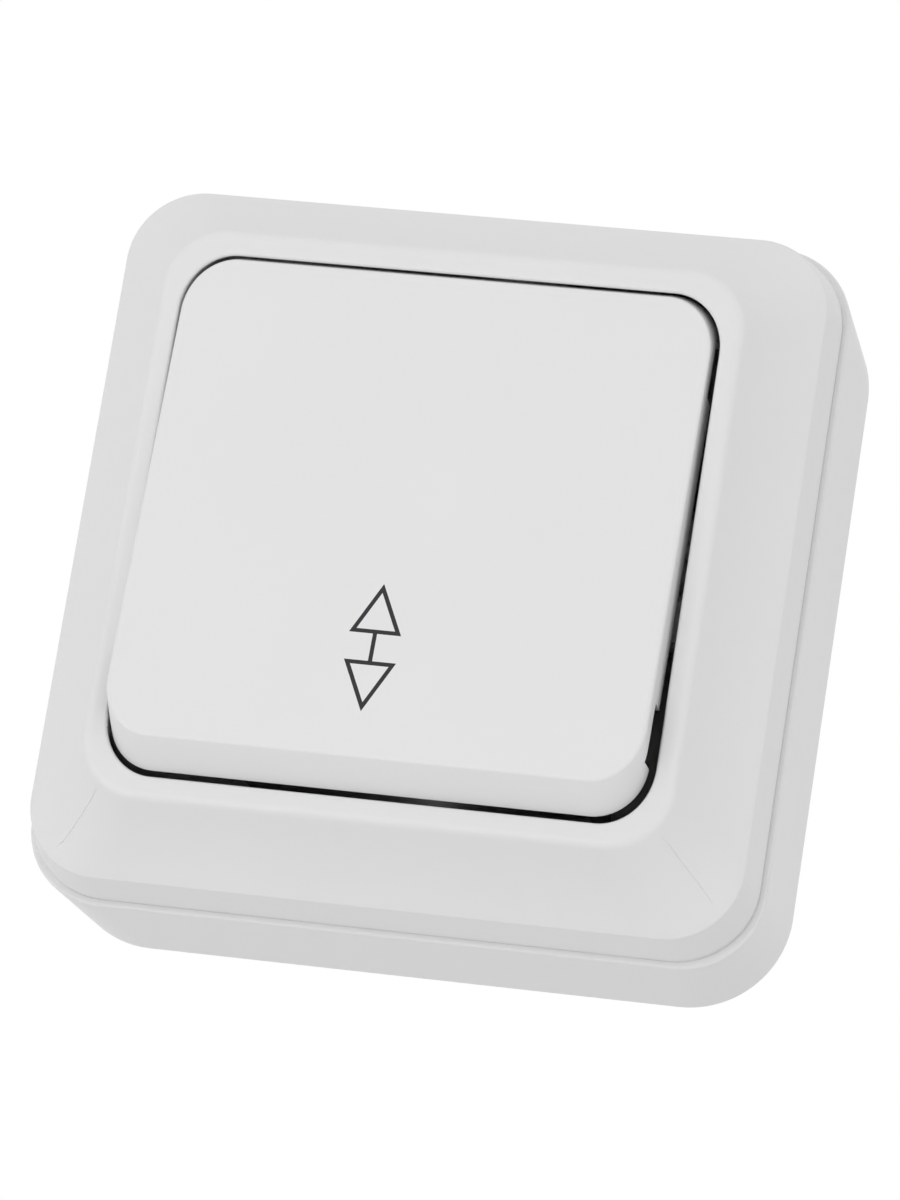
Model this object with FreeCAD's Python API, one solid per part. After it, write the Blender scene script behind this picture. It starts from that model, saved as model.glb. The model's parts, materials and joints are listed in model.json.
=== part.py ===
import FreeCAD, Part
import math
import os

# Surface-mounted two-way rocker light switch.
# Every piece is drawn with the switch lying on its back: x to the right, y up the wall,
# z out of the wall, and the wall itself at z = 0. The last step stands the switch up.
# All lengths are in millimetres and all angles in degrees.

# Base tray: the ledge is what shows of its rim outside the cover
base_ledge = 0.55
base_draft = 0.17
base_corner_r = 9.6
base_wall = 1.8
base_floor = 2.0
base_rim_round = 0.3

# Cover frame: widths are counted outwards from the window, heights down from the rim
cover_rim_width = 1.85
cover_slope_run = 6.3
cover_slope_rise = 7.7
cover_skirt_draft = 0.75
cover_skirt_height = 5.7
cover_shadow_gap = 0.1
cover_foot_recess = 0.1
cover_foot_recess_height = 1.0
cover_rim_over_pivot = 12.0
cover_skirt_corner_r = 8.6
cover_crease_corner_r = 8.0
cover_rim_corner_r = 7.4
cover_corner_ridge = 5.5
cover_cove_depth = 0.45
cover_rim_round = 1.2
cover_crease_round = 0.35
cover_wall = 1.9
cover_tongue_drop = 1.9
cover_tongue_gap = 0.3
collar_wall = 1.3
collar_half_length = 19.0

# Key and its window
key_face_r = 13.95
key_half_width = 25.47
key_end_inset = 1.43
key_skirt = 4.2
key_corner_r = 4.8
key_wall = 1.5
key_top = 1.6
key_edge_round = 0.35
key_rib = 1.2
key_rib_height = 1.4
key_rib_gap_x = 3.3
key_rib_gap_y = 4.5
key_notch_inset = 5.94
key_notch_length = 5.8
key_notch_height = 2.0
key_tilt = 4.55
key_side_gap = 0.53
key_side_play = 0.22
key_end_gap = 0.39
window_drop = 0.09
window_corner_gap = 0.2
window_edge_round = 0.3

# Symbol printed on the key
symbol_x = -1.1
symbol_end_inset = 10.68
symbol_triangle_width = 4.3
symbol_triangle_height = 4.3
symbol_stem = 3.1
symbol_stroke = 0.4
symbol_depth = 0.15

# Rocker carrier
carrier_plate = 1.8
carrier_side_gap = 0.6
carrier_half_y = 10.0
cheek_thickness = 1.9
cheek_foot_r = 2.8
cheek_foot_gap = 0.3
trunnion_r = 1.8
trunnion_clearance = 0.06
post_inset_x = 5.2
post_inset_y = 3.0
post_r = 1.5
post_collar_r = 2.6
post_collar_height = 1.55
post_clearance = 0.05
barrel_r = 3.0
barrel_drop = 3.5

# Plunger and spring
plunger_r = 1.8
plunger_clearance = 0.08
plunger_nose_r = 1.2
plunger_top_r = 1.5
plunger_stub_r = 0.9
plunger_stub = 1.5
plunger_gap = 0.35
spring_wire_r = 0.2
spring_coil_r = 1.35
spring_turns = 5
spring_play = 0.1

# Mechanism block and lid
block_side_gap = 2.2
block_rail = 0.4
block_floor = 1.2
block_corner_r = 1.5
chamber_half_x = 7.5
chamber_end_gap = 1.7
lid_thickness = 1.6
lid_ear_thickness = 2.0
lid_ear_r = 3.2
lid_slot_gap = 0.7
ear_inset = 3.8
ear_r = 3.2
ear_rise = 5.6
ear_thickness = 2.0

# Contacts
strip_thickness = 0.8
strip_width = 4.4
contact_arm = 8.5
contact_head_r = 1.6
contact_head = 0.6
contact_shank_r = 0.8
contact_gap = 0.3
blade_tilt = 5.5
blade_overhang = 1.8
blade_half_width = 2.5
blade_thickness = 0.8
blade_lift = 0.3
blade_bar_r = 0.8
blade_bar_half = 4.9
blade_bar_clearance = 0.06
saddle_x = 4.0

# Terminals
terminal_right_wall = 7.8
terminal_left_wall = 3.8
terminal_end_wall = 2.5
terminal_strip_gap = 1.8
clamp_strip_gap = 0.3
clamp_half_y = 3.0
clamp_height = 7.0
clamp_headroom = 1.2
clamp_wall = 1.0
clamp_pocket_gap = 0.25
wire_hole_r = 2.2

# Screws
screw_clearance = 0.05
screw_slot = 0.9
cover_screw_inset = 3.4
cover_screw_r = 1.45
cover_screw_head_r = 2.7
cover_screw_head = 1.7
cover_screw_length = 9.0
cover_tab_half_y = 6.0
cover_tab = 2.0
cover_tab_drop = 7.5
pillar_r = 3.1
pillar_rib = 1.2
mechanism_screw_gap = 1.0
lid_screw_inset = 2.7
lid_screw_y = 8.0
lid_screw_r = 1.1
lid_screw_head_r = 2.0
lid_screw_head = 1.3
lid_screw_length = 5.0
terminal_screw_r = 1.5
terminal_screw_head_r = 2.7
terminal_screw_head = 1.6
terminal_screw_length = 3.8

# Wall fixings and cable ways
wall_slot_inset = 7.62
wall_slot_r = 2.2
wall_slot_length = 8.0
wall_pad_half_x = 4.4
wall_pad_half_y = 5.0
cable_hole_inset_x = 12.12
cable_hole_inset_y = 15.62
cable_hole_r = 6.0
knockout_x = 13.0
knockout_z = 9.0
knockout_r = 5.5
knockout_skin = 0.7

# Heights of the mechanism, from the floor up to the pivot
block_seat_z = base_floor + block_rail
block_height = block_floor + clamp_height + clamp_headroom
block_top_z = block_seat_z + block_height
lid_top_z = block_top_z + lid_thickness
pivot_z = lid_top_z + cheek_foot_gap + cheek_foot_r
ear_z = block_seat_z + ear_rise
mechanism_screw_length = ear_z + ear_thickness - base_floor - mechanism_screw_gap

# Heights of the cover, from the pivot up to the rim and down to the base
cover_rim_z = pivot_z + cover_rim_over_pivot
cover_crease_z = cover_rim_z - cover_slope_rise
cover_foot_z = cover_crease_z - cover_skirt_height
base_height = cover_foot_z - cover_shadow_gap
cover_tab_top_z = cover_rim_z - cover_tab_drop
lip_z = cover_rim_z - cover_wall

# The key and its window turn about the same pivot, so their ends share a centre
key_half_length = key_half_width - key_end_inset
key_notch_y = key_half_length - key_notch_inset
symbol_y = symbol_end_inset - key_half_length
key_swing_r = math.hypot(key_half_length, key_face_r)
window_swing_r = key_swing_r + key_end_gap
window_corner_r = key_corner_r + window_corner_gap
carrier_top_r = key_face_r - key_top - post_collar_height
bore_end_r = carrier_top_r - carrier_plate
barrel_bore_r = plunger_r + plunger_clearance

# Widths of the cover and the base, from the key outwards
window_half_width = key_half_width + key_side_gap
cover_half_at_rim = window_half_width + cover_rim_width
cover_half_at_crease = cover_half_at_rim + cover_slope_run
cover_half_at_skirt = cover_half_at_crease + cover_skirt_draft
base_half_at_rim = cover_half_at_skirt + base_ledge
base_half_at_wall = base_half_at_rim + base_draft
cover_screw_x = window_half_width - cover_screw_inset
wall_slot_y = base_half_at_wall - wall_slot_inset
cable_hole_x = cable_hole_inset_x - base_half_at_wall
cable_hole_y = base_half_at_wall - cable_hole_inset_y

# Widths of the mechanism: across, inwards from the cover screws; along, outwards from
# the contacts
block_half_x = cover_screw_x - pillar_r - block_side_gap
carrier_half_x = block_half_x - lid_ear_thickness - carrier_side_gap
post_x = carrier_half_x - post_inset_x
post_y = carrier_half_y - post_inset_y
ear_x = block_half_x - ear_inset
lid_screw_x = block_half_x - lid_screw_inset
clamp_half_x = strip_width / 2.0 + clamp_strip_gap + clamp_wall
terminal_left_x = clamp_half_x + terminal_left_wall - block_half_x
terminal_right_x = block_half_x - terminal_right_wall - clamp_half_x
terminal_y = contact_arm + strip_width / 2.0 + terminal_strip_gap + clamp_half_y
block_half_y = terminal_y + clamp_half_y + terminal_end_wall
ear_y = block_half_y + ear_r
blade_half_length = contact_arm + blade_overhang
chamber_half_y = blade_half_length + chamber_end_gap

# Heights of the contacts, from the block's floor up to the plunger
strip_z = block_seat_z + block_floor + clamp_wall
strip_top_z = strip_z + strip_thickness
blade_drop = (contact_arm + contact_head_r) * math.sin(math.radians(blade_tilt))
blade_head_drop = (contact_head - blade_lift) * math.cos(math.radians(blade_tilt))
blade_z = strip_top_z + contact_head + contact_gap + blade_drop + blade_head_drop
blade_top_z = blade_z + blade_lift + blade_thickness
plunger_reach = pivot_z - blade_top_z - plunger_gap

V = FreeCAD.Vector
AXIS_X = V(1, 0, 0)
AXIS_Y = V(0, 1, 0)
AXIS_Z = V(0, 0, 1)


def cylinder(radius, start, axis, length):
    return Part.makeCylinder(radius, length, start, axis)


def upright(radius, x, y, z_low, z_high):
    return cylinder(radius, V(x, y, z_low), AXIS_Z, z_high - z_low)


def box(x_low, x_high, y_low, y_high, z_low, z_high):
    return Part.makeBox(x_high - x_low, y_high - y_low, z_high - z_low, V(x_low, y_low, z_low))


def cleaned(shape):
    tidy = shape.removeSplitter()
    return tidy.Solids[0] if len(tidy.Solids) == 1 else tidy


# Outline of a square with rounded corners; a ridge angle leaves a faint mitre on each diagonal
def square_outline(half, corner, z, ridge=0.0):
    turn = math.radians(45.0 - ridge)
    reach = corner * (1.0 - math.cos(turn) + math.sin(turn))
    edges = []
    for quarter in range(4):
        def spot(x, y):
            angle = math.radians(90.0 * quarter)
            px = x * math.cos(angle) - y * math.sin(angle)
            py = x * math.sin(angle) + y * math.cos(angle)
            return V(px, py, z)

        def on_arc(angle):
            return (half - corner + corner * math.cos(angle), half - reach + corner * math.sin(angle))

        rise = [on_arc(0.0), on_arc(turn / 2.0), on_arc(turn)]
        edges.append(Part.makeLine(spot(half, reach - half), spot(*rise[0])))
        edges.append(Part.Arc(*[spot(x, y) for x, y in rise]).toShape())
        edges.append(Part.Arc(*[spot(y, x) for x, y in reversed(rise)]).toShape())
    return Part.Wire(edges)


def loft(outlines, ruled=False):
    return Part.makeLoft(outlines, True, ruled)


# Flat plate from a closed list of corner points
def plate(points, z_low, thickness):
    corners = [V(x, y, z_low) for x, y in points]
    face = Part.Face(Part.makePolygon(corners + corners[:1]))
    return face.extrude(V(0, 0, thickness))


def slot(x, y, radius, length, z_low, z_high):
    half = length / 2.0 - radius
    ends = upright(radius, x, y - half, z_low, z_high).fuse(upright(radius, x, y + half, z_low, z_high))
    return ends.fuse(box(x - radius, x + radius, y - half, y + half, z_low, z_high))


# Straight-slotted screw with its head above z_seat and its shank below
def screw(x, y, z_seat, shank_r, head_r, head, length):
    shank = upright(shank_r, x, y, z_seat - length, z_seat)
    cap = upright(head_r, x, y, z_seat, z_seat + head)
    rim = [edge for edge in cap.Edges if edge.CenterOfMass.z > z_seat + head - 0.01]
    cap = cap.makeChamfer(head * 0.25, rim)
    groove_low = z_seat + head * 0.5
    groove = box(x - screw_slot / 2, x + screw_slot / 2, y - head_r, y + head_r, groove_low, z_seat + head)
    return cleaned(shank.fuse(cap).cut(groove))


# Block that turns with the key: flat sides, ends on an arc about the pivot, rounded corners
def swing_block(half_width, swing_r, corner, z_low, z_high):
    drum = cylinder(swing_r, V(-half_width, 0, 0), AXIS_X, 2 * half_width)
    reach = swing_r + 1.0
    block = drum.common(box(-half_width, half_width, -reach, reach, z_low, z_high))
    ends = [e for e in block.Edges if is_end_arc(e, half_width, swing_r)]
    return block.makeFillet(corner, ends)


def is_end_arc(edge, half_width, swing_r):
    middle = edge.valueAt((edge.FirstParameter + edge.LastParameter) / 2.0)
    at_side = abs(abs(middle.x) - half_width) < 0.001
    return at_side and abs(math.hypot(middle.y, middle.z) - swing_r) < 0.001


# Move a piece drawn about the pivot axis to its place at rest, top edge pressed in;
# the side play is taken up to the left
def rocked(shape):
    shape.rotate(V(0, 0, 0), AXIS_X, -key_tilt)
    shape.translate(V(-key_side_play, 0, pivot_z))
    return shape


# Move a piece drawn about the blade axis to its place at rest, lower contact closed
def tipped(shape):
    shape.rotate(V(0, 0, 0), AXIS_X, blade_tilt)
    shape.translate(V(0, 0, blade_z))
    return shape


# Half width of the base's outside at a height above the wall
def base_half(z):
    return base_half_at_wall - (base_half_at_wall - base_half_at_rim) * z / base_height


def base_shell():
    outer = loft([
        square_outline(base_half_at_wall, base_corner_r, 0.0),
        square_outline(base_half_at_rim, base_corner_r, base_height),
    ], True)
    rim = [e for e in outer.Edges if e.BoundBox.ZMin > base_height - 0.01]
    outer = outer.makeFillet(base_rim_round, rim)
    inner = loft([
        square_outline(base_half(z) - base_wall, base_corner_r - base_wall, z)
        for z in (base_floor, base_height + 1.0)
    ], True)
    return outer.cut(inner)


def base_pillar(side):
    x = side * cover_screw_x
    top = cover_tab_top_z - cover_tab
    pillar = upright(pillar_r, x, 0, base_floor, top)
    wall_x = side * (base_half_at_rim - base_wall / 2.0)
    rib = box(min(x, wall_x), max(x, wall_x), -pillar_rib / 2, pillar_rib / 2, base_floor, base_height - 3.0)
    bore = upright(cover_screw_r + screw_clearance, x, 0, top - cover_screw_length, top)
    return pillar.fuse(rib).cut(bore)


def mechanism_boss(side):
    x = -side * ear_x
    y = side * ear_y
    boss = upright(ear_r - 0.2, x, y, base_floor, ear_z)
    return boss.cut(upright(cover_screw_r + screw_clearance, x, y, base_floor + 0.6, ear_z))


def wall_slot_pad(side):
    y = side * wall_slot_y
    low, high = y - wall_pad_half_y, y + wall_pad_half_y
    return box(-wall_pad_half_x, wall_pad_half_x, low, high, base_floor, block_seat_z)


# Recess from the inside that leaves a thin skin to break out for a cable
def knockout(x, side):
    skin_y = min(base_half(knockout_z - knockout_r), base_half(knockout_z + knockout_r)) - knockout_skin
    depth = 2.0 * base_wall
    return cylinder(knockout_r, V(x, side * (skin_y - depth), knockout_z), V(0, side, 0), depth)


def base_tray():
    tray = base_shell()
    for side in (-1, 1):
        tray = tray.fuse([base_pillar(side), mechanism_boss(side), wall_slot_pad(side)])
        rail_x = side * (block_half_x - 3.0)
        tray = tray.fuse(box(rail_x - 1.0, rail_x + 1.0, -block_half_y, block_half_y, base_floor, block_seat_z))
    for side in (-1, 1):
        tray = tray.cut(slot(0, side * wall_slot_y, wall_slot_r, wall_slot_length, -1.0, block_seat_z))
        tray = tray.cut([knockout(-knockout_x, side), knockout(knockout_x, side)])
    tray = tray.cut(upright(cable_hole_r, cable_hole_x, cable_hole_y, -1.0, base_floor + 1.0))
    return cleaned(tray)


# Half width and height of the hollow slope at a share of the way from crease to rim
def cove_spot(share):
    run = cover_half_at_crease - cover_half_at_rim
    rise = cover_rim_z - cover_crease_z
    span = math.hypot(run, rise)
    sink = 4.0 * cover_cove_depth * share * (1.0 - share)
    half = cover_half_at_crease - run * share - sink * rise / span
    return half, cover_crease_z + rise * share - sink * run / span


def cover_outside():
    foot_half = cover_half_at_skirt - cover_foot_recess
    foot_corner = cover_skirt_corner_r - cover_foot_recess
    step_z = cover_foot_z + cover_foot_recess_height
    foot = loft([
        square_outline(foot_half, foot_corner, cover_foot_z, cover_corner_ridge),
        square_outline(foot_half, foot_corner, step_z, cover_corner_ridge),
    ], True)
    skirt = loft([
        square_outline(cover_half_at_skirt, cover_skirt_corner_r, step_z, cover_corner_ridge),
        square_outline(cover_half_at_crease, cover_crease_corner_r, cover_crease_z, cover_corner_ridge),
    ], True)
    steps = []
    for share in (0.0, 0.25, 0.5, 0.75, 1.0):
        half, z = cove_spot(share)
        corner = cover_crease_corner_r + (cover_rim_corner_r - cover_crease_corner_r) * share
        steps.append(square_outline(half, corner, z, cover_corner_ridge))
    return skirt.fuse([foot, loft(steps)])


def cover_inside():
    foot_half = cover_half_at_skirt - cover_wall - 0.5
    crease_half = cover_half_at_crease - cover_wall
    lip_half = window_half_width + collar_wall
    corner = cover_crease_corner_r - cover_wall
    low = loft([
        square_outline(foot_half, corner, cover_foot_z - cover_tongue_drop - 1.0),
        square_outline(crease_half, corner, cover_crease_z - 1.0),
    ], True)
    high = loft([
        square_outline(crease_half, corner, cover_crease_z - 1.0),
        square_outline(lip_half, corner, lip_z),
    ], True)
    return low.fuse(high)


def cover_tongue():
    outer_half = base_half_at_rim - base_wall - cover_tongue_gap
    corner = base_corner_r - base_wall - cover_tongue_gap
    low = cover_foot_z - cover_tongue_drop
    return loft([
        square_outline(outer_half, corner, low),
        square_outline(outer_half, corner, cover_foot_z + 1.0),
    ], True)


def cover_collar(side):
    inner = window_half_width
    outer = window_half_width + collar_wall
    low = cover_tab_top_z - cover_tab
    wall = box(inner, outer, -collar_half_length, collar_half_length, low, lip_z + 0.5)
    tab_start = cover_screw_x - pillar_r
    tab = box(tab_start, outer, -cover_tab_half_y, cover_tab_half_y, low, cover_tab_top_z)
    collar = wall.fuse(tab).cut(upright(cover_screw_r + 0.25, cover_screw_x, 0, low, cover_tab_top_z))
    if side < 0:
        collar = collar.mirror(V(0, 0, 0), AXIS_X)
    return collar


# The opening that the key swings in, from under the lip to above the rim; it sits a
# little low, so the gap is thinner above the key than below it
def window():
    low = lip_z - 0.5 - pivot_z
    high = cover_rim_z + 1.0 - pivot_z
    block = swing_block(window_half_width, window_swing_r, window_corner_r, low, high)
    block.translate(V(0, -window_drop, pivot_z))
    return block


def cover_frame():
    body = cover_outside().removeSplitter()
    rim = [e for e in body.Edges if e.BoundBox.ZMin > cover_rim_z - 0.01]
    body = body.makeFillet(cover_rim_round, rim)
    crease = [e for e in body.Edges if abs(e.CenterOfMass.z - cover_crease_z) < 0.01]
    body = body.makeFillet(cover_crease_round, crease)
    body = body.cut(window())
    lip = [e for e in body.Edges if is_window_edge(e)]
    body = body.makeFillet(window_edge_round, lip)
    body = body.fuse(cover_tongue()).cut(cover_inside())
    body = body.fuse([cover_collar(-1), cover_collar(1)])
    return cleaned(body)


def is_window_edge(edge):
    box_of_edge = edge.BoundBox
    flat = box_of_edge.ZMin > cover_rim_z - 0.01
    inside = max(abs(box_of_edge.XMin), abs(box_of_edge.XMax)) < window_half_width + 0.1
    return flat and inside and max(abs(box_of_edge.YMin), abs(box_of_edge.YMax)) < window_half_width + 0.1


def symbol_outline(width, height, y_base, direction):
    tip = y_base + direction * height
    return [(symbol_x - width / 2, y_base), (symbol_x + width / 2, y_base), (symbol_x, tip)]


# Outlined triangle pointing up or down, its base towards the stem
def symbol_triangle(direction):
    y_base = symbol_y + direction * symbol_stem / 2.0
    slant = math.hypot(symbol_triangle_width / 2.0, symbol_triangle_height)
    grow = symbol_stroke / 2.0
    side_shift = grow * slant / symbol_triangle_height
    tip_shift = grow * slant / (symbol_triangle_width / 2.0)
    width_change = 2.0 * (side_shift + grow * symbol_triangle_width / 2.0 / symbol_triangle_height)
    low = key_face_r - symbol_depth
    outer = symbol_outline(
        symbol_triangle_width + width_change,
        symbol_triangle_height + tip_shift + grow,
        y_base - direction * grow,
        direction,
    )
    inner = symbol_outline(
        symbol_triangle_width - width_change,
        symbol_triangle_height - tip_shift - grow,
        y_base + direction * grow,
        direction,
    )
    return plate(outer, low, symbol_depth).cut(plate(inner, low, symbol_depth))


def symbol_local():
    half = symbol_stroke / 2.0
    reach = symbol_stem / 2.0
    low = key_face_r - symbol_depth
    stem = box(symbol_x - half, symbol_x + half, symbol_y - reach, symbol_y + reach, low, key_face_r)
    return cleaned(stem.fuse([symbol_triangle(-1), symbol_triangle(1)]))


def key_shell():
    low = key_face_r - key_skirt
    outer = swing_block(key_half_width, key_swing_r, key_corner_r, low, key_face_r)
    edge = [e for e in outer.Edges if e.BoundBox.ZMin > key_face_r - 0.01]
    outer = outer.makeFillet(key_edge_round, edge)
    hollow = swing_block(
        key_half_width - key_wall,
        key_swing_r - key_wall,
        key_corner_r - key_wall,
        low - 1.0,
        key_face_r - key_top,
    )
    return outer.cut(hollow)


# Notch in the key's side edge, where a blade levers the key off
def pry_notch(side, end):
    y = end * key_notch_y
    half = key_notch_length / 2.0
    low = key_face_r - key_skirt
    x_inner = key_half_width - key_wall - 0.2
    x_outer = key_half_width + 0.2
    notch = box(x_inner, x_outer, y - half, y + half, low, low + key_notch_height)
    if side < 0:
        notch = notch.mirror(V(0, 0, 0), AXIS_X)
    return notch


def key_cap():
    key = key_shell()
    key = key.cut([pry_notch(side, end) for side in (-1, 1) for end in (-1, 1)])
    ceiling = key_face_r - key_top
    rib_low = ceiling - key_rib_height
    rib_reach = key_half_width - key_wall / 2.0
    half_rib = key_rib / 2.0
    for side in (-1, 1):
        rib_y = side * (carrier_half_y + key_rib_gap_y)
        key = key.fuse(box(-rib_reach, rib_reach, rib_y - half_rib, rib_y + half_rib, rib_low, ceiling + 0.2))
        rib_x = side * (carrier_half_x + key_rib_gap_x)
        rib = box(rib_x - half_rib, rib_x + half_rib, -key_half_length, key_half_length, rib_low, ceiling + 0.2)
        key = key.fuse(rib)
    for x in (-post_x, post_x):
        for y in (-post_y, post_y):
            collar = upright(post_collar_r, x, y, carrier_top_r, ceiling + 0.2)
            post = upright(post_r, x, y, carrier_top_r - carrier_plate - 0.6, ceiling + 0.2)
            key = key.fuse([collar, post])
    return rocked(cleaned(key.cut(symbol_local())))


def key_symbol():
    return rocked(symbol_local())


# Side cheek from the carrier plate down to the trunnion, drawn as a tapered web
def carrier_cheek(side):
    inner = carrier_half_x - cheek_thickness
    low = carrier_top_r - carrier_plate
    foot = cylinder(cheek_foot_r, V(inner, 0, 0), AXIS_X, cheek_thickness)
    corners = [
        V(inner, -cheek_foot_r, 0),
        V(inner, cheek_foot_r, 0),
        V(inner, carrier_half_y - 1.0, low),
        V(inner, 1.0 - carrier_half_y, low),
    ]
    web = Part.Face(Part.makePolygon(corners + corners[:1])).extrude(V(cheek_thickness, 0, 0))
    pin_end = block_half_x - 0.2
    pin = cylinder(trunnion_r, V(inner, 0, 0), AXIS_X, pin_end - inner)
    cheek = foot.fuse([web, pin])
    if side < 0:
        cheek = cheek.mirror(V(0, 0, 0), AXIS_X)
    return cheek


def rocker_carrier():
    low = carrier_top_r - carrier_plate
    body = box(-carrier_half_x, carrier_half_x, -carrier_half_y, carrier_half_y, low, carrier_top_r)
    corners = [e for e in body.Edges if e.BoundBox.ZLength > carrier_plate - 0.01]
    body = body.makeFillet(1.5, corners)
    body = body.fuse([upright(barrel_r, 0, 0, -barrel_drop, low), carrier_cheek(-1), carrier_cheek(1)])
    for side in (-1, 1):
        gusset = [V(-0.6, 0, 1.0), V(-0.6, side * (carrier_half_y - 2.0), low), V(-0.6, 0, low)]
        body = body.fuse(Part.Face(Part.makePolygon(gusset + gusset[:1])).extrude(V(1.2, 0, 0)))
    body = body.cut(upright(barrel_bore_r, 0, 0, -barrel_drop, bore_end_r - 0.8))
    for x in (-post_x, post_x):
        for y in (-post_y, post_y):
            body = body.cut(upright(post_r + post_clearance, x, y, low, carrier_top_r))
    return rocked(cleaned(body))


def plunger():
    tip = -plunger_reach
    guide_low = -barrel_drop + 0.2
    guide = upright(plunger_r, 0, 0, guide_low, plunger_top_r)
    nose = upright(plunger_nose_r, 0, 0, tip, guide_low)
    end = [e for e in nose.Edges if e.BoundBox.ZMax < tip + 0.01]
    nose = nose.makeFillet(plunger_nose_r * 0.8, end)
    stub = upright(plunger_stub_r, 0, 0, plunger_top_r, plunger_top_r + plunger_stub)
    return rocked(cleaned(guide.fuse([nose, stub])))


def plunger_spring():
    low = plunger_top_r + spring_wire_r + spring_play
    height = bore_end_r - 0.8 - plunger_top_r - 2.0 * (spring_wire_r + spring_play)
    path = Part.makeHelix(height / spring_turns, height, spring_coil_r)
    ring = Part.makeCircle(spring_wire_r, V(spring_coil_r, 0, 0), AXIS_Y)
    coil = Part.Wire(path).makePipeShell([Part.Wire(ring)], True, True)
    coil.translate(V(0, 0, low))
    return rocked(coil)


def block_ear(side):
    x = -side * ear_x
    y = side * ear_y
    y_wall = side * (block_half_y - 1.0)
    arm = box(x - ear_r, x + ear_r, min(y, y_wall), max(y, y_wall), ear_z, ear_z + ear_thickness)
    ear = arm.fuse(upright(ear_r, x, y, ear_z, ear_z + ear_thickness))
    return ear.cut(upright(cover_screw_r + screw_clearance, x, y, ear_z, ear_z + ear_thickness))


def terminal_spots():
    return [
        (terminal_right_x, terminal_y),
        (terminal_right_x, -terminal_y),
        (terminal_left_x, -terminal_y),
    ]


def clamp_pocket(x, y):
    half_x = clamp_half_x + clamp_pocket_gap
    half_y = clamp_half_y + clamp_pocket_gap
    pocket = box(x - half_x, x + half_x, y - half_y, y + half_y, strip_z - clamp_wall, block_top_z)
    outward = 1.0 if y > 0 else -1.0
    wire_z = strip_top_z + wire_hole_r - 0.2
    wire_way = cylinder(wire_hole_r, V(x, y, wire_z), V(0, outward, 0), block_half_y)
    return pocket.fuse(wire_way)


def mechanism_block():
    body = box(-block_half_x, block_half_x, -block_half_y, block_half_y, block_seat_z, block_top_z)
    corners = [e for e in body.Edges if e.BoundBox.ZLength > block_height - 0.01]
    body = body.makeFillet(block_corner_r, corners)
    body = body.fuse([block_ear(-1), block_ear(1)])
    half_strip = strip_width / 2.0 + 0.2
    chamber = box(-chamber_half_x, chamber_half_x, -chamber_half_y, chamber_half_y, strip_z, block_top_z)
    left_low = terminal_left_x - half_strip
    left_run = box(left_low, -chamber_half_x + 1.0, -terminal_y, half_strip, strip_z, block_top_z)
    ways = [chamber, left_run]
    for side in (-1, 1):
        strip_start = contact_arm - half_strip
        y_low = min(side * terminal_y, side * strip_start)
        y_high = max(side * terminal_y, side * strip_start)
        x_low = terminal_right_x - half_strip
        x_high = terminal_right_x + half_strip
        ways.append(box(x_low, x_high, y_low, y_high, strip_z, block_top_z))
        pad_low = side * contact_arm - half_strip
        ways.append(box(0, x_high, pad_low, pad_low + 2.0 * half_strip, strip_z, block_top_z))
        spot_x = side * lid_screw_x
        depth_z = block_top_z - lid_screw_length
        ways.append(upright(lid_screw_r + screw_clearance, spot_x, side * lid_screw_y, depth_z, block_top_z))
    for x, y in terminal_spots():
        ways.append(clamp_pocket(x, y))
    return cleaned(body.cut(ways))


def lid_ear(side):
    inner = block_half_x - lid_ear_thickness
    base = box(inner, block_half_x, -lid_ear_r - 1.0, lid_ear_r + 1.0, block_top_z, lid_top_z + 1.0)
    neck = box(inner, block_half_x, -lid_ear_r, lid_ear_r, block_top_z, pivot_z)
    head = cylinder(lid_ear_r, V(inner, 0, pivot_z), AXIS_X, lid_ear_thickness)
    bore = cylinder(trunnion_r + trunnion_clearance, V(inner, 0, pivot_z), AXIS_X, lid_ear_thickness)
    ear = base.fuse([neck, head]).cut(bore)
    if side < 0:
        ear = ear.mirror(V(0, 0, 0), AXIS_X)
    return ear


def mechanism_lid():
    body = box(-block_half_x, block_half_x, -block_half_y, block_half_y, block_top_z, lid_top_z)
    corners = [e for e in body.Edges if e.BoundBox.ZLength > lid_thickness - 0.01]
    body = body.makeFillet(block_corner_r, corners)
    body = body.fuse([lid_ear(-1), lid_ear(1)])
    reach = barrel_r + lid_slot_gap
    slot_cut = box(-reach, reach, -reach, reach, block_top_z, lid_top_z)
    corners = [e for e in slot_cut.Edges if e.BoundBox.ZLength > lid_thickness - 0.01]
    cuts = [slot_cut.makeFillet(1.0, corners)]
    for x, y in terminal_spots():
        cuts.append(upright(terminal_screw_head_r + 0.4, x, y, block_top_z, lid_top_z))
    for side in (-1, 1):
        spot = (side * lid_screw_x, side * lid_screw_y)
        cuts.append(upright(lid_screw_r + screw_clearance, *spot, block_top_z, lid_top_z))
    return cleaned(body.cut(cuts))


# Upright tab of the common plate with a round-bottomed notch that the blade turns in
def saddle_tab(side):
    x_low = side * saddle_x - strip_thickness / 2.0
    half = strip_width / 2.0
    top = blade_z + blade_bar_r * 0.9
    notch_r = blade_bar_r + blade_bar_clearance
    tab = box(x_low, x_low + strip_thickness, -half, half, strip_z, top)
    tab = tab.cut(cylinder(notch_r, V(x_low, 0, blade_z), AXIS_X, strip_thickness))
    return tab.cut(box(x_low, x_low + strip_thickness, -notch_r, notch_r, blade_z, top))


def common_plate():
    half = strip_width / 2.0
    right = saddle_x + strip_thickness / 2.0
    outline = [
        (right, half),
        (terminal_left_x - half, half),
        (terminal_left_x - half, -terminal_y - 2.0),
        (terminal_left_x + half, -terminal_y - 2.0),
        (terminal_left_x + half, -half),
        (right, -half),
    ]
    body = plate(outline, strip_z, strip_thickness)
    return cleaned(body.fuse([saddle_tab(-1), saddle_tab(1)]))


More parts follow.
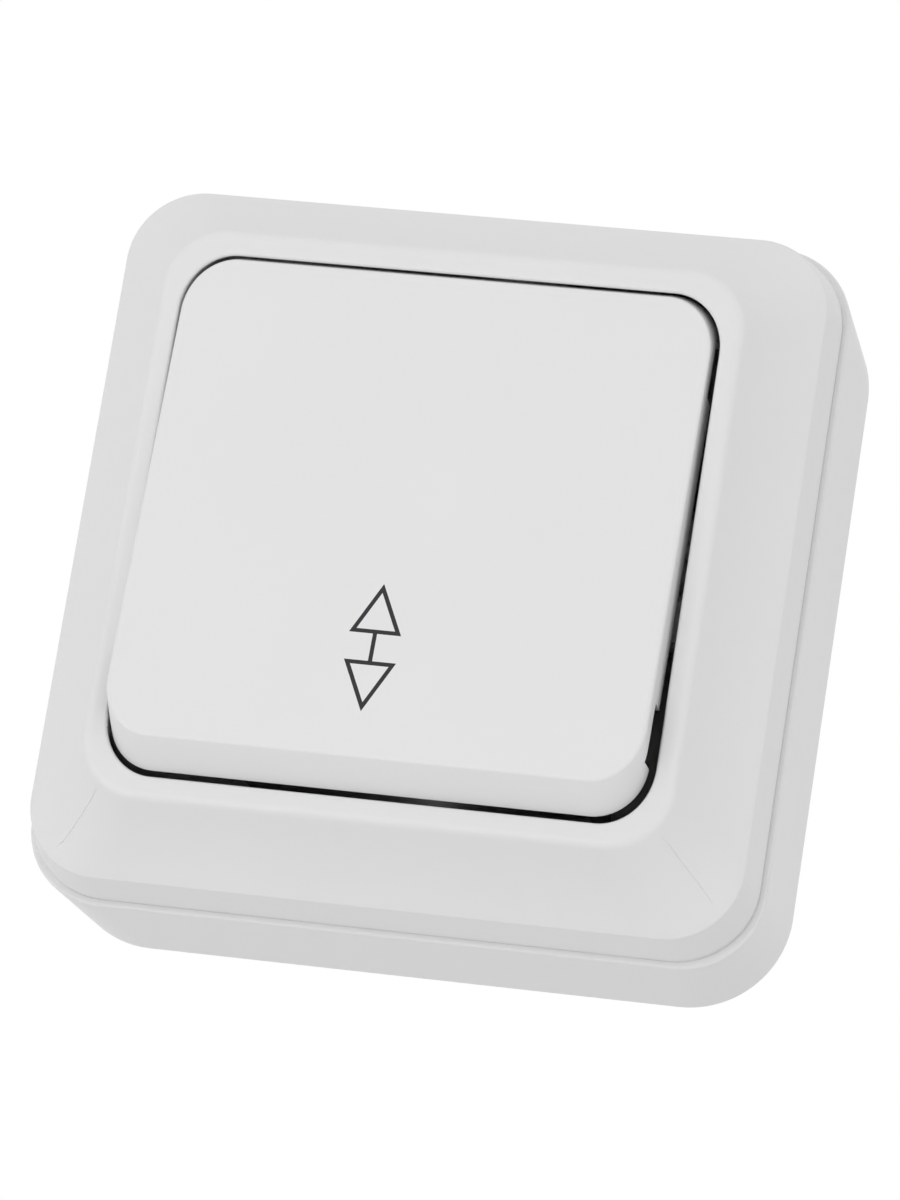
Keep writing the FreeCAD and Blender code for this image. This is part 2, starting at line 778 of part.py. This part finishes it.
def contact_strip(side):
    half = strip_width / 2.0
    pad = contact_arm - half
    outline = [
        (-half, side * pad),
        (terminal_right_x + half, side * pad),
        (terminal_right_x + half, side * (terminal_y + 2.0)),
        (terminal_right_x - half, side * (terminal_y + 2.0)),
        (terminal_right_x - half, side * (pad + strip_width)),
        (-half, side * (pad + strip_width)),
    ]
    body = plate(outline, strip_z, strip_thickness)
    return cleaned(body.cut(upright(contact_shank_r, 0, side * contact_arm, strip_z, strip_top_z)))


def fixed_contact(side):
    y = side * contact_arm
    head = upright(contact_head_r, 0, y, strip_top_z, strip_top_z + contact_head)
    rim = [e for e in head.Edges if e.BoundBox.ZMin > strip_top_z + contact_head - 0.01]
    head = head.makeChamfer(contact_head * 0.4, rim)
    return cleaned(head.fuse(upright(contact_shank_r, 0, y, strip_z, strip_top_z)))


def contact_blade():
    top = blade_lift + blade_thickness
    leaf = box(-blade_half_width, blade_half_width, -blade_half_length, blade_half_length, blade_lift, top)
    corners = [e for e in leaf.Edges if e.BoundBox.ZLength > blade_thickness - 0.01]
    leaf = leaf.makeFillet(1.2, corners)
    bar = cylinder(blade_bar_r, V(-blade_bar_half, 0, 0), AXIS_X, 2 * blade_bar_half)
    body = leaf.fuse(bar)
    for side in (-1, 1):
        body = body.cut(upright(contact_shank_r, 0, side * contact_arm, blade_lift - 0.1, top))
    return tipped(cleaned(body))


def blade_contact(side):
    y = side * contact_arm
    top = blade_lift + blade_thickness
    low = blade_lift - contact_head
    head = upright(contact_head_r, 0, y, low, blade_lift)
    rim = [e for e in head.Edges if e.BoundBox.ZMax < low + 0.01]
    head = head.makeChamfer(contact_head * 0.4, rim)
    upset = upright(contact_shank_r + 0.4, 0, y, top, top + 0.3)
    body = head.fuse([upright(contact_shank_r, 0, y, blade_lift, top), upset])
    return tipped(cleaned(body))


def terminal_clamp(x, y):
    low = strip_z - clamp_wall
    body = box(x - clamp_half_x, x + clamp_half_x, y - clamp_half_y, y + clamp_half_y, low, low + clamp_height)
    edges = [e for e in body.Edges if e.BoundBox.YLength > 2 * clamp_half_y - 0.01]
    body = body.makeFillet(0.6, edges)
    hole_x = clamp_half_x - clamp_wall
    hole_top = low + clamp_height - clamp_wall
    way = box(x - hole_x, x + hole_x, y - clamp_half_y, y + clamp_half_y, strip_z, hole_top)
    bore = upright(terminal_screw_r + screw_clearance, x, y, hole_top, low + clamp_height)
    return cleaned(body.cut([way, bore]))


def terminal_screws():
    seat = block_top_z - 0.4
    screws = []
    for x, y in terminal_spots():
        screws.append(screw(
            x, y, seat, terminal_screw_r, terminal_screw_head_r, terminal_screw_head, terminal_screw_length
        ))
    return Part.Compound(screws)


def cover_screws():
    screws = []
    for side in (-1, 1):
        screws.append(screw(
            side * cover_screw_x, 0, cover_tab_top_z, cover_screw_r, cover_screw_head_r,
            cover_screw_head, cover_screw_length,
        ))
    return Part.Compound(screws)


def mechanism_screws():
    seat = ear_z + ear_thickness
    screws = []
    for side in (-1, 1):
        screws.append(screw(
            -side * ear_x, side * ear_y, seat, cover_screw_r, cover_screw_head_r,
            cover_screw_head, mechanism_screw_length,
        ))
    return Part.Compound(screws)


def lid_screws():
    screws = []
    for side in (-1, 1):
        screws.append(screw(
            side * lid_screw_x, side * lid_screw_y, lid_top_z, lid_screw_r, lid_screw_head_r,
            lid_screw_head, lid_screw_length,
        ))
    return Part.Compound(screws)


# Stand the piece up on the wall: the front then faces -Y and the top is +Z
def export(name, shape):
    shape.rotate(V(0, 0, 0), AXIS_X, 90.0)
    shape.exportStep("parts/" + name + ".step")


def main():
    os.makedirs("parts", exist_ok=True)
    export("base_tray", base_tray())
    export("cover_frame", cover_frame())
    export("cover_screws", cover_screws())
    export("mechanism_block", mechanism_block())
    export("mechanism_lid", mechanism_lid())
    export("mechanism_screws", mechanism_screws())
    export("lid_screws", lid_screws())
    export("common_plate", common_plate())
    export("upper_contact_strip", contact_strip(1))
    export("lower_contact_strip", contact_strip(-1))
    export("upper_fixed_contact", fixed_contact(1))
    export("lower_fixed_contact", fixed_contact(-1))
    export("upper_terminal_clamp", terminal_clamp(terminal_right_x, terminal_y))
    export("lower_terminal_clamp", terminal_clamp(terminal_right_x, -terminal_y))
    export("common_terminal_clamp", terminal_clamp(terminal_left_x, -terminal_y))
    export("terminal_screws", terminal_screws())
    export("contact_blade", contact_blade())
    export("upper_blade_contact", blade_contact(1))
    export("lower_blade_contact", blade_contact(-1))
    export("key_cap", key_cap())
    export("key_symbol", key_symbol())
    export("rocker_carrier", rocker_carrier())
    export("plunger", plunger())
    export("plunger_spring", plunger_spring())


main()
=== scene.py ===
import json
import math

import bmesh
import bpy
from mathutils import Matrix, Vector


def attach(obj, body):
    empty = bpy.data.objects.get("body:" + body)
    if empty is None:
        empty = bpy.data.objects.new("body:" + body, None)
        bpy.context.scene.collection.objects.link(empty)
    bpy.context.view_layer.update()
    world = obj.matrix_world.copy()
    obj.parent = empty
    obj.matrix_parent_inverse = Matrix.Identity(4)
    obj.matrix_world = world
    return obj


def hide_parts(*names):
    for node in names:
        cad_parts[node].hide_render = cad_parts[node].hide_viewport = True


# Looks of a white two-way rocker switch, seen a little from its right and from below.
# Lengths are in metres, except where millimetres are named.

MM = 0.001
WHITE = (1.0, 1.0, 1.0, 1.0)

# Camera, with its angles in degrees
AZIMUTH = 13.2
ELEVATION = -15.5
ROLL = 9.16
LENS = 195.0
SENSOR_WIDTH = 36.0
DISTANCE = 615 * MM
AIM = Vector((1.12, -14.15, -2.06)) * MM
NEAREST = 0.01
FARTHEST = 20.0

# Finishes: colour, its variation, roughness, its variation, size of the noise, bump, metal
FINISHES = {
    "white_shell": ((0.80, 0.80, 0.80), 0.006, 0.42, 0.04, 60.0, 0.10, 0.0),
    "key_white": ((0.81, 0.81, 0.81), 0.006, 0.38, 0.04, 60.0, 0.08, 0.0),
    "symbol_ink": ((0.012, 0.012, 0.014), 0.05, 0.6, 0.05, 400.0, 0.2, 0.0),
    # mechanism_grey is the block's own grey plastic, made darker as painted shade so that the
    # deep gaps around the key read dark
    "mechanism_grey": ((0.22, 0.225, 0.23), 0.04, 0.5, 0.06, 120.0, 0.3, 0.0),
    "carrier_white": ((0.62, 0.62, 0.60), 0.03, 0.5, 0.06, 120.0, 0.3, 0.0),
    "plunger_nylon": ((0.60, 0.57, 0.48), 0.03, 0.45, 0.06, 200.0, 0.2, 0.0),
    "contact_brass": ((0.60, 0.42, 0.17), 0.08, 0.32, 0.08, 300.0, 0.3, 1.0),
    "silver_contact": ((0.80, 0.79, 0.76), 0.05, 0.25, 0.08, 400.0, 0.3, 1.0),
    "zinc_screw": ((0.58, 0.59, 0.60), 0.08, 0.30, 0.08, 300.0, 0.4, 1.0),
    "spring_steel": ((0.42, 0.43, 0.44), 0.06, 0.30, 0.08, 500.0, 0.3, 1.0),
}
TINT_DETAIL = 4.0
TINT_FROM = 0.3
TINT_TO = 0.7
GRAIN_FINER = 30.0
GRAIN_DETAIL = 2.0
GRAIN_DEPTH = 0.02 * MM

# Outlines of the two shells, in millimetres: height from the wall, half width, corner
# radius of the solid and corner radius of the look
BASE_STATIONS = ((0.0, 35.62, 9.6, 9.6), (15.0, 35.45, 9.6, 7.7))
FOOT_STATIONS = ((15.1, 34.9, 8.6, 7.7), (16.1, 34.9, 8.6, 7.7))
CREASE_STATION = (20.8, 34.15, 8.0, 7.2)
RIM_STATION = (28.5, 27.85, 7.4, 5.8)
COVE_DEPTH = 0.45
COVE_STEPS = 20

# Ridge on each corner of the solid, in degrees either side of the diagonal
BASE_RIDGE = 0.0
COVER_RIDGE = 5.5
HALF_CORNER = 45.0

# Depth of the skin that moves, and length of the flat side that follows, in millimetres
SKIN = 1.2
BLEND = 2.0

# Fine line down each lower corner of the slope, in millimetres
LINE_SHIFT = 1.3
LINE_HALF = 0.18
LINE_DEPTH = 0.13
LINE_LOW = 21.5
LINE_HIGH = 27.0
LINE_NEAR = 0.01

# Clean-up of a copied mesh: lengths in metres, angle in degrees
MERGE_LENGTH = 0.0005 * MM
CUT_LENGTH = 1e-7
SHARP_ANGLE = 30.0

# Stage
FLOOR_DROP = 0.45
BACKDROP_BEHIND = 1.6
STAGE_HALF = 4.0
STAGE_COLOR = (0.8, 0.8, 0.8, 1.0)
STAGE_ROUGHNESS = 0.9

# Light: strength of the dome, then the place, size and power of each lamp
DOME_STRENGTH = 0.80
LAMPS = {
    "key_light": ((-0.5, -0.9, 0.7), 0.8, 0.3),
    "fill_light": ((0.9, -0.8, -0.1), 1.0, 1.4),
    "low_light": ((-0.3, -0.6, -0.4), 0.6, 1.8),
}


def add_object(name, data):
    added = bpy.data.objects.new(name, data)
    bpy.context.scene.collection.objects.link(added)
    return added


def new_material(name):
    material = bpy.data.materials.new(name)
    material.use_nodes = True
    nodes = material.node_tree.nodes
    return material, nodes, material.node_tree.links, nodes["Principled BSDF"]


# Noise that stays with the piece
def add_noise(nodes, links, place, scale, detail):
    noise = nodes.new("ShaderNodeTexNoise")
    noise.inputs["Scale"].default_value = scale
    noise.inputs["Detail"].default_value = detail
    links.new(place.outputs["Object"], noise.inputs["Vector"])
    return noise


# Colour that varies faintly over the piece, uneven roughness and a fine bump
def finish_material(name, color, vary, rough, rough_vary, scale, bump, metallic):
    material, nodes, links, shader = new_material(name)
    place = nodes.new("ShaderNodeTexCoord")
    noise = add_noise(nodes, links, place, scale, TINT_DETAIL)

    tint = nodes.new("ShaderNodeValToRGB")
    darker, lighter = tint.color_ramp.elements
    darker.position, lighter.position = TINT_FROM, TINT_TO
    darker.color = [c * (1.0 - vary) for c in color] + [1.0]
    lighter.color = [min(1.0, c * (1.0 + vary)) for c in color] + [1.0]
    links.new(noise.outputs["Fac"], tint.inputs["Fac"])
    links.new(tint.outputs["Color"], shader.inputs["Base Color"])

    spread = nodes.new("ShaderNodeMapRange")
    spread.inputs["To Min"].default_value = rough - rough_vary
    spread.inputs["To Max"].default_value = rough + rough_vary
    links.new(noise.outputs["Fac"], spread.inputs["Value"])
    links.new(spread.outputs["Result"], shader.inputs["Roughness"])

    grain = add_noise(nodes, links, place, scale * GRAIN_FINER, GRAIN_DETAIL)
    relief = nodes.new("ShaderNodeBump")
    relief.inputs["Strength"].default_value = bump
    relief.inputs["Distance"].default_value = GRAIN_DEPTH
    links.new(grain.outputs["Fac"], relief.inputs["Height"])
    links.new(relief.outputs["Normal"], shader.inputs["Normal"])

    shader.inputs["Metallic"].default_value = metallic
    return material


def paint(frame):
    finishes = {name: finish_material(name, *values) for name, values in FINISHES.items()}
    for part in frame["record"]["subparts"]:
        node = frame["nodes"][part["node"]]
        node.data.materials.clear()
        node.data.materials.append(finishes[part["material_slot"]])


# Hollow slope between crease and rim, as stations
def cove_stations():
    low_z, low_half, low_corner, low_look = CREASE_STATION
    high_z, high_half, high_corner, high_look = RIM_STATION
    run, rise = low_half - high_half, high_z - low_z
    span = math.hypot(run, rise)
    stations = []
    for step in range(COVE_STEPS + 1):
        share = step / COVE_STEPS
        sink = 4.0 * COVE_DEPTH * share * (1.0 - share)
        stations.append((
            low_z + rise * share - sink * run / span,
            low_half - run * share - sink * rise / span,
            low_corner + (high_corner - low_corner) * share,
            low_look + (high_look - low_look) * share,
        ))
    return stations


# Half width and the two corner radii at a height
def outline_at(stations, height):
    if height <= stations[0][0]:
        return stations[0][1:]
    for low, high in zip(stations, stations[1:]):
        if height <= high[0]:
            share = (height - low[0]) / (high[0] - low[0])
            return [a + (b - a) * share for a, b in zip(low[1:], high[1:])]
    return stations[-1][1:]


# New place of a point on a shell's skin: the solid's corner arc becomes the look's
def rounded(across, up, outline, ridge):
    half, corner, look = outline
    wide, narrow = max(abs(across), abs(up)), min(abs(across), abs(up))
    turn = math.radians(HALF_CORNER - ridge)
    reach = corner * (1.0 - math.cos(turn) + math.sin(turn))
    from_x, from_y = wide - half + corner, narrow - half + reach
    outside = math.hypot(from_x, max(from_y, 0.0)) - corner
    if from_y < -BLEND or outside < -SKIN:
        return across, up
    if from_y <= 0.0:
        narrow += (reach - look) * (1.0 + from_y / BLEND)
    else:
        angle = math.atan2(from_y, from_x) / turn * math.pi / 4.0
        wide = half - look + (look + outside) * math.cos(angle)
        narrow = half - look + (look + outside) * math.sin(angle)
    if abs(up) > abs(across):
        wide, narrow = narrow, wide
    return math.copysign(wide, across), math.copysign(narrow, up)


# Cuts the mesh beside both diagonals, so that a fine line can be pressed in there
def cut_diagonals(mesh):
    middle = Vector((LINE_SHIFT, 0.0, 0.0))
    for slant in (-1.0, 1.0):
        normal = Vector((1.0, 0.0, slant)).normalized()
        for offset in (-LINE_HALF, 0.0, LINE_HALF):
            bmesh.ops.bisect_plane(
                mesh,
                geom=mesh.verts[:] + mesh.edges[:] + mesh.faces[:],
                dist=CUT_LENGTH,
                plane_co=(middle + normal * offset) * MM,
                plane_no=normal,
            )


# Whether a point lies in the middle of a fine line
def on_line(across, up, height):
    beside = abs(across - LINE_SHIFT) - abs(up)
    return up < 0.0 and abs(beside) < LINE_NEAR and LINE_LOW < height < LINE_HIGH


# Moves the skin's corners to their place in the look, and presses the fine lines in
def move_skin(mesh, stations, ridge, lined):
    inward = LINE_DEPTH / math.sqrt(2.0)
    for vert in mesh.verts:
        across, height, up = vert.co.x / MM, -vert.co.y / MM, vert.co.z / MM
        outline = outline_at(stations, height)
        half, corner, _ = outline
        new_across, new_up = rounded(across, up, outline, ridge)
        if lined and on_line(across, up, height) and abs(across) > half - corner:
            new_across -= math.copysign(inward, new_across)
            new_up -= math.copysign(inward, new_up)
        vert.co.x, vert.co.z = new_across * MM, new_up * MM


# Even shading over the round forms, sharp at the true edges
def shade_evenly(shell):
    if "custom_normal" in shell.data.attributes:
        shell.data.attributes.remove(shell.data.attributes["custom_normal"])
    shell.data.shade_smooth()
    shell.data.set_sharp_from_angle(angle=math.radians(SHARP_ANGLE))
    shell.modifiers.new("even_shading", "WEIGHTED_NORMAL").keep_sharp = True


# Copy of a shell whose corners are drawn as the look needs them; it stands for the solid
def redrawn_shell(frame, node, name, stations, ridge, lined):
    shell = add_object(name, frame["nodes"][node].data.copy())
    mesh = bmesh.new()
    mesh.from_mesh(shell.data)
    bmesh.ops.remove_doubles(mesh, verts=mesh.verts, dist=MERGE_LENGTH)
    if lined:
        cut_diagonals(mesh)
    move_skin(mesh, stations, ridge, lined)
    mesh.to_mesh(shell.data)
    mesh.free()
    shade_evenly(shell)
    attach(shell, "housing")
    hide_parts(node)


def redraw_shells(frame):
    cover_stations = list(FOOT_STATIONS) + cove_stations()
    redrawn_shell(frame, "base_tray", "base_tray_look", BASE_STATIONS, BASE_RIDGE, False)
    redrawn_shell(frame, "cover_frame", "cover_frame_look", cover_stations, COVER_RIDGE, True)


# One where the camera, a reflection or a clear piece looks at the background, nought for light
def seen_share(nodes, links):
    path = nodes.new("ShaderNodeLightPath")
    share = path.outputs["Is Camera Ray"]
    for ray in ("Is Glossy Ray", "Is Transmission Ray"):
        larger = nodes.new("ShaderNodeMath")
        larger.operation = "MAXIMUM"
        links.new(share, larger.inputs[0])
        links.new(path.outputs[ray], larger.inputs[1])
        share = larger.outputs["Value"]
    return share


# Sends one shader to the light and the other to the eye
def mix_seen(nodes, links, lit, seen, surface):
    mix = nodes.new("ShaderNodeMixShader")
    links.new(seen_share(nodes, links), mix.inputs["Fac"])
    links.new(lit, mix.inputs[1])
    links.new(seen, mix.inputs[2])
    links.new(mix.outputs["Shader"], surface)


# Plain pale surface that is seen as pure white
def stage_material(name):
    material, nodes, links, shader = new_material(name)
    shader.inputs["Base Color"].default_value = STAGE_COLOR
    shader.inputs["Roughness"].default_value = STAGE_ROUGHNESS
    glow = nodes.new("ShaderNodeEmission")
    glow.inputs["Color"].default_value = WHITE
    surface = nodes["Material Output"].inputs["Surface"]
    mix_seen(nodes, links, shader.outputs["BSDF"], glow.outputs["Emission"], surface)
    return material


def add_plane(name, corners, material):
    mesh = bpy.data.meshes.new(name)
    mesh.from_pydata(corners, [], [(0, 1, 2, 3)])
    mesh.materials.append(material)
    plane = add_object(name, mesh)


def build_stage():
    white = stage_material("stage_white")
    s, z, y = STAGE_HALF, -FLOOR_DROP, BACKDROP_BEHIND
    add_plane("floor", [(-s, -s, z), (s, -s, z), (s, s, z), (-s, s, z)], white)
    add_plane("backdrop", [(-s, y, -s), (s, y, -s), (s, y, s), (-s, y, s)], white)


def build_world():
    world = bpy.data.worlds.new("studio")
    bpy.context.scene.world = world
    world.use_nodes = True
    nodes, links = world.node_tree.nodes, world.node_tree.links
    dome = nodes["Background"]
    dome.inputs["Color"].default_value = WHITE
    dome.inputs["Strength"].default_value = DOME_STRENGTH
    seen = nodes.new("ShaderNodeBackground")
    seen.inputs["Color"].default_value = WHITE
    surface = nodes["World Output"].inputs["Surface"]
    mix_seen(nodes, links, dome.outputs["Background"], seen.outputs["Background"], surface)


def build_lights():
    for name, (place, size, power) in LAMPS.items():
        data = bpy.data.lights.new(name, "AREA")
        data.size = size
        data.energy = power
        lamp = add_object(name, data)
        lamp.location = place
        lamp.rotation_mode = "QUATERNION"
        lamp.rotation_quaternion = (AIM - Vector(place)).to_track_quat("-Z", "Y")


def build_camera():
    data = bpy.data.cameras.new("camera")
    data.lens = LENS
    data.sensor_width = SENSOR_WIDTH
    data.clip_start = NEAREST
    data.clip_end = FARTHEST
    camera = add_object("camera", data)
    turn, rise = math.radians(AZIMUTH), math.radians(ELEVATION)
    back = Vector((
        math.sin(turn) * math.cos(rise),
        -math.cos(turn) * math.cos(rise),
        math.sin(rise),
    ))
    level = (-back).to_track_quat("-Z", "Y")
    roll = Matrix.Rotation(math.radians(ROLL), 3, "Z").to_quaternion()
    camera.location = AIM + back * DISTANCE
    camera.rotation_mode = "QUATERNION"
    camera.rotation_quaternion = level @ roll
    bpy.context.scene.camera = camera


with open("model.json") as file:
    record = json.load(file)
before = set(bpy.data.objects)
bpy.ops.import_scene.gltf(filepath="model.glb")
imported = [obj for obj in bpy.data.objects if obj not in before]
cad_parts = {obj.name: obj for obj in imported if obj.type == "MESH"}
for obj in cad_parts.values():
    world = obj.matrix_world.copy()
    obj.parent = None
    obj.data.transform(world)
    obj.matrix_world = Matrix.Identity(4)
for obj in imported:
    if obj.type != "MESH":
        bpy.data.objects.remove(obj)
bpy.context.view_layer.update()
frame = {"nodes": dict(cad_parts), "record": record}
paint(frame)
redraw_shells(frame)
build_stage()
build_world()
build_lights()
build_camera()
bpy.context.scene.view_settings.view_transform = "Standard"
